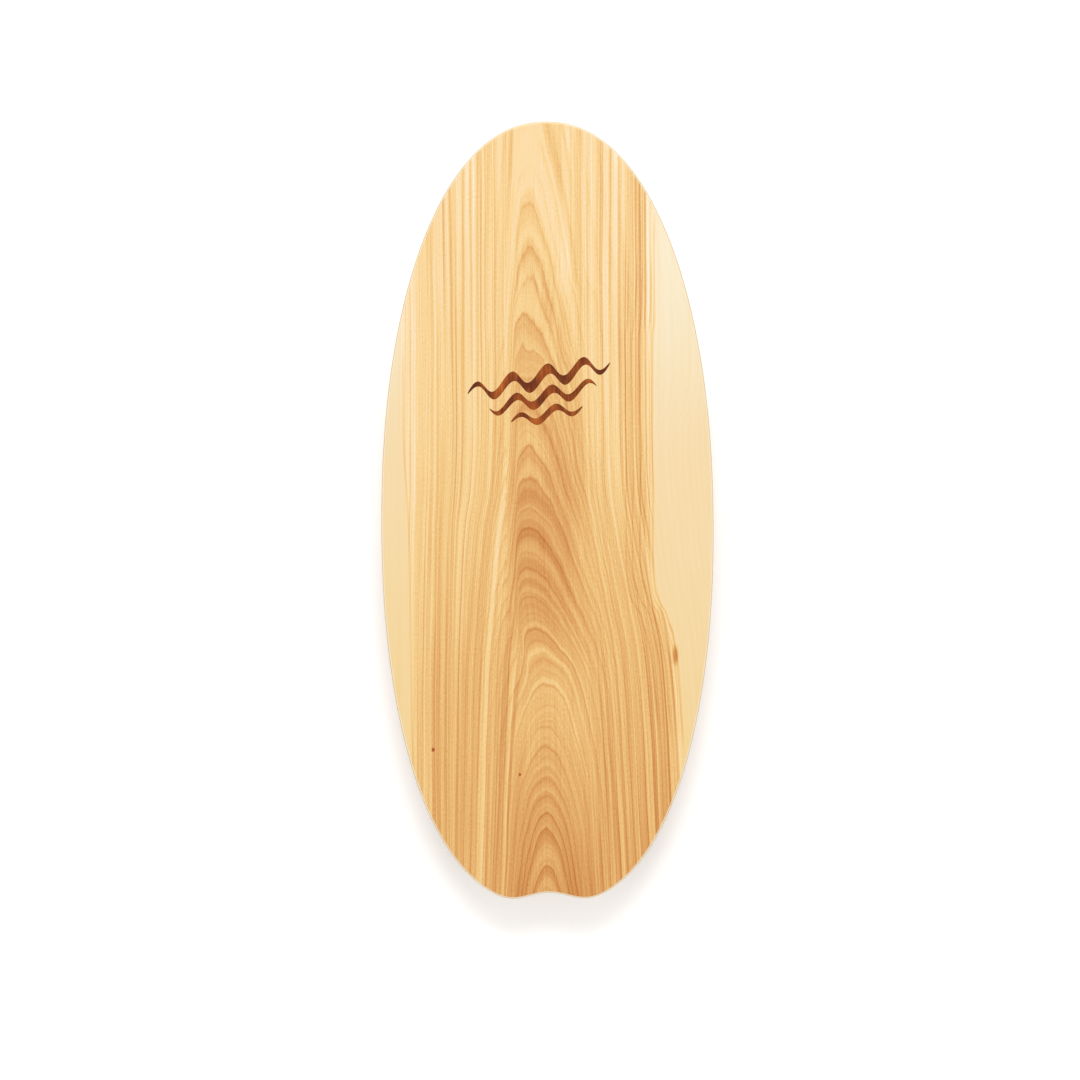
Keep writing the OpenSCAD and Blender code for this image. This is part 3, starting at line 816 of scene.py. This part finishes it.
def screw_mesh(bm, cx, cy, z0):
    """A countersunk wood screw, head down at z0, with a star socket and a real helical thread."""
    n = 48
    core = 1.35
    start, end, pitch = 7.2, 23.6, 1.8

    def radius(t, z):
        if z < 0.3:
            return 4.0
        if z < 2.3:
            return 4.0 - (4.0 - 1.55) * (z - 0.3) / 2.0
        if z < start:
            return 1.45
        taper = min(1.0, max(0.0, (25.0 - z) / 4.0))
        ph = ((z - start) / pitch - t / (2 * math.pi)) % 1.0
        saw = ph / 0.25 if ph < 0.25 else max(0.0, 1.0 - (ph - 0.25) / 0.45)
        run_in = min(1.0, (z - start) / 1.5)
        return taper * (core + 0.62 * saw * run_in * (0.3 + 0.7 * taper)) if z < 24.99 else 0.02

    zs = [0.0, 0.3, 0.9, 1.6, 2.3, 3.0, 5.0, start]
    z = start
    while z < 24.9:
        z += 0.12
        zs.append(min(z, 25.0))
    if zs[-1] < 25.0:
        zs.append(25.0)
    rows = []
    for z in zs:
        row = []
        for i in range(n):
            t = 2 * math.pi * i / n
            r = max(0.02, radius(t, z))
            row.append(bm.verts.new(((cx + r * math.cos(t)) * MM, (cy + r * math.sin(t)) * MM, (z0 + z) * MM)))
        rows.append(row)

    def star(i, depth, scale=1.0):
        t = 2 * math.pi * i / n
        r = (1.45 + 0.22 * math.cos(6 * t)) * scale
        return bm.verts.new(((cx + r * math.cos(t)) * MM, (cy + r * math.sin(t)) * MM, (z0 + depth) * MM))

    socket = [[star(i, 0.0, 1.06) for i in range(n)], [star(i, 0.12) for i in range(n)], [star(i, 1.35) for i in range(n)]]
    tip = bm.verts.new((cx * MM, cy * MM, (z0 + 25.0) * MM))
    pit = bm.verts.new((cx * MM, cy * MM, (z0 + 1.6) * MM))
    for a, b in zip(rows, rows[1:]):
        for i in range(n):
            j = (i + 1) % n
            bm.faces.new((a[i], a[j], b[j], b[i]))
    for i in range(n):
        j = (i + 1) % n
        bm.faces.new((rows[-1][i], rows[-1][j], tip))
        bm.faces.new((socket[0][i], socket[0][j], rows[0][j], rows[0][i]))
        for a, b in zip(socket, socket[1:]):
            bm.faces.new((b[i], b[j], a[j], a[i]))
        bm.faces.new((socket[-1][j], socket[-1][i], pit))


def make_screws(node, cy):
    bm = bmesh.new()
    for x in SCREW_X:
        screw_mesh(bm, x, cy, UNDER - RAIL_H + 1.0)
    return finish_piece(new_object(node + "_steel", bm, 32, (M_STEEL,)), node, "deck")


def make_pads(node, cy):
    bm = bmesh.new()
    for x in (-PAD_X, PAD_X):
        r = PAD_D / 2
        prof = [(0, 0.35), (r * 0.45, 0.30), (r * 0.62, 0.06), (r * 0.70, 0.0), (r - 1.0, 0.0), (r - 0.6, 0.08), (r - 0.28, 0.28), (r - 0.08, 0.6),
                (r, 1.0), (r, PAD_OUT + 0.9), (r - 0.1, PAD_OUT + 1.0), (0, PAD_OUT + 1.0)]
        part = lathe(prof, 96, (x, cy, UNDER - RAIL_H - PAD_OUT))
        tmp = bpy.data.meshes.new("tmp")
        part.to_mesh(tmp)
        part.free()
        bm.from_mesh(tmp)
        bpy.data.meshes.remove(tmp)
    return finish_piece(new_object(node + "_rubber", bm, 35, (M_RUBBER,)), node, "deck")


for end, cy in (("nose", RAIL_Y), ("tail", -RAIL_Y)):
    make_rail(end + "_stop_rail", cy)
    make_screws(end + "_stop_screws", cy)
    make_pads(end + "_floor_pads", cy)

# ---------------------------------------------------------------- the roller
ROLL_R, ROLL_L, CORK, WALL, CAP = 50.0, 300.0, 5.0, 6.0, 12.0
TUBE_R = ROLL_R - CORK - 0.08
TUBE_RI = TUBE_R - WALL


def cork_sleeve():
    """The sleeve, its outside sanded but pitted between the granules."""
    n, rows = 420, 300
    prof = [(ROLL_R - CORK + 0.02, -ROLL_L / 2)]
    for k in range(5):
        a = math.radians(90.0 * k / 4)
        prof.append((ROLL_R - 2 + 2 * math.sin(a), -ROLL_L / 2 + 2 - 2 * math.cos(a)))
    for k in range(1, rows):
        prof.append((ROLL_R, -ROLL_L / 2 + 2 + (ROLL_L - 4) * k / rows))
    for k in range(5):
        a = math.radians(90.0 * k / 4)
        prof.append((ROLL_R - 2 + 2 * math.cos(a), ROLL_L / 2 - 2 + 2 * math.sin(a)))
    prof.append((ROLL_R - CORK + 0.02, ROLL_L / 2))
    bm = ring_lathe(prof, n, (0, 0, ROLL_R))
    axis_z = ROLL_R * MM
    for v in bm.verts:
        r = math.hypot(v.co.y, v.co.z - axis_z)
        if r < (ROLL_R - CORK + 0.5) * MM:
            continue
        p = v.co / MM
        pit = mnoise.noise(p * 0.42) * 0.5 + mnoise.noise(p * 0.95 + Vector((9, 4, 2))) * 0.5
        depth = 0.02 + max(0.0, pit - 0.10) * 0.55
        k = 1 - min(depth, 0.3) * MM / r
        v.co.y *= k
        v.co.z = axis_z + (v.co.z - axis_z) * k
    return finish_piece(new_object("roller_cork_sleeve", bm, 50, (M_CORK,)), "roller_cork_cover", "roller")


def core_tube():
    h = (ROLL_L - 2) / 2
    prof = [(TUBE_RI, -h + 0.4), (TUBE_RI + 0.4, -h), (TUBE_R - 0.4, -h), (TUBE_R, -h + 0.4), (TUBE_R, h - 0.4), (TUBE_R - 0.4, h), (TUBE_RI + 0.4, h), (TUBE_RI, h - 0.4)]
    return finish_piece(new_object("roller_core_tube_plastic", ring_lathe(prof, 256, (0, 0, ROLL_R)), 35, (M_TUBE,)), "roller_core_tube", "roller_carriage")


def end_cap(s, node):
    r = TUBE_RI - 0.08
    out = ROLL_L / 2 - 1
    prof = [(0, out - CAP), (r, out - CAP), (r, out - 1.0)]
    prof += [(r - 1 + math.cos(math.radians(a)), out - 1 + math.sin(math.radians(a))) for a in (15, 30, 45, 60, 75, 90)]
    prof += [(r * 0.72, out), (r * 0.70, out - 0.12), (r * 0.69, out - 0.35), (r * 0.67, out - 0.35), (r * 0.66, out - 0.12), (r * 0.64, out), (0, out)]
    prof = [(a, s * b) for a, b in prof]
    return finish_piece(new_object(node + "_birch", lathe(prof, 192, (0, 0, ROLL_R), "X"), 30, (M_CAP,)), node, "roller")


cork_sleeve()
core_tube()
end_cap(-1, "roller_left_cap")
end_cap(1, "roller_right_cap")

# ---------------------------------------------------------------- stage, light and camera
bm = bmesh.new()
N = 24
S = 9.0
grid = [[bm.verts.new(((i / N - 0.5) * 2 * S, (j / N - 0.5) * 2 * S, -0.0005)) for j in range(N + 1)] for i in range(N + 1)]
for i in range(N):
    for j in range(N):
        bm.faces.new((grid[i][j], grid[i + 1][j], grid[i + 1][j + 1], grid[i][j + 1]))
gf = Graph("studio_floor", rough=0.9, spec=0.1)
gf.colour(gf.ramp(gf.noise(gf.vec(gf.m("DIVIDE", gf.x, 400.0), gf.m("DIVIDE", gf.y, 400.0)), 2.0), -1, 1, [(-1, (0.93, 0.928, 0.925, 1)), (1, (0.95, 0.948, 0.945, 1))]))
floor = new_object("studio_floor", bm, 30, (gf.mat,))

world = bpy.data.worlds.new("studio")
scene.world = world
world.use_nodes = True
bg = next(n for n in world.node_tree.nodes if n.type == "BACKGROUND")
bg.inputs["Color"].default_value = (1.0, 1.0, 1.0, 1.0)
bg.inputs["Strength"].default_value = 0.95


def area(name, loc, target, size, power, color=(1, 1, 1)):
    d = bpy.data.lights.new(name, "AREA")
    d.shape = "RECTANGLE"
    d.size, d.size_y = size
    d.energy = power
    d.color = color
    o = bpy.data.objects.new(name, d)
    o.location = loc
    o.rotation_euler = (Vector(target) - Vector(loc)).to_track_quat("-Z", "Y").to_euler()
    scene.collection.objects.link(o)
    return o


area("key", (0.0, 5.8, 10.9), (0, 0, 0), (4.0, 4.0), 700.0)
area("fill_left", (-2.6, -0.4, 2.6), (0, 0, 0), (1.8, 1.8), 13.0)
area("fill_right", (2.6, -0.4, 2.6), (0, 0, 0), (1.8, 1.8), 13.0)

cam_data = bpy.data.cameras.new("camera")
cam_data.sensor_width = 36.0
cam_data.lens = 100.0
cam_data.clip_end = 50.0
cam = bpy.data.objects.new("camera", cam_data)
cam.location = (-0.00774, -0.03082, TOP * MM + 3.085)
cam.rotation_euler = (0.0, 0.0, math.radians(-0.246))
scene.collection.objects.link(cam)
scene.camera = cam
scene.view_settings.view_transform = "Standard"
scene.view_settings.look = "None"
scene.view_settings.exposure = 0.0
scene.view_settings.gamma = 1.0

bpy.context.view_layer.update()
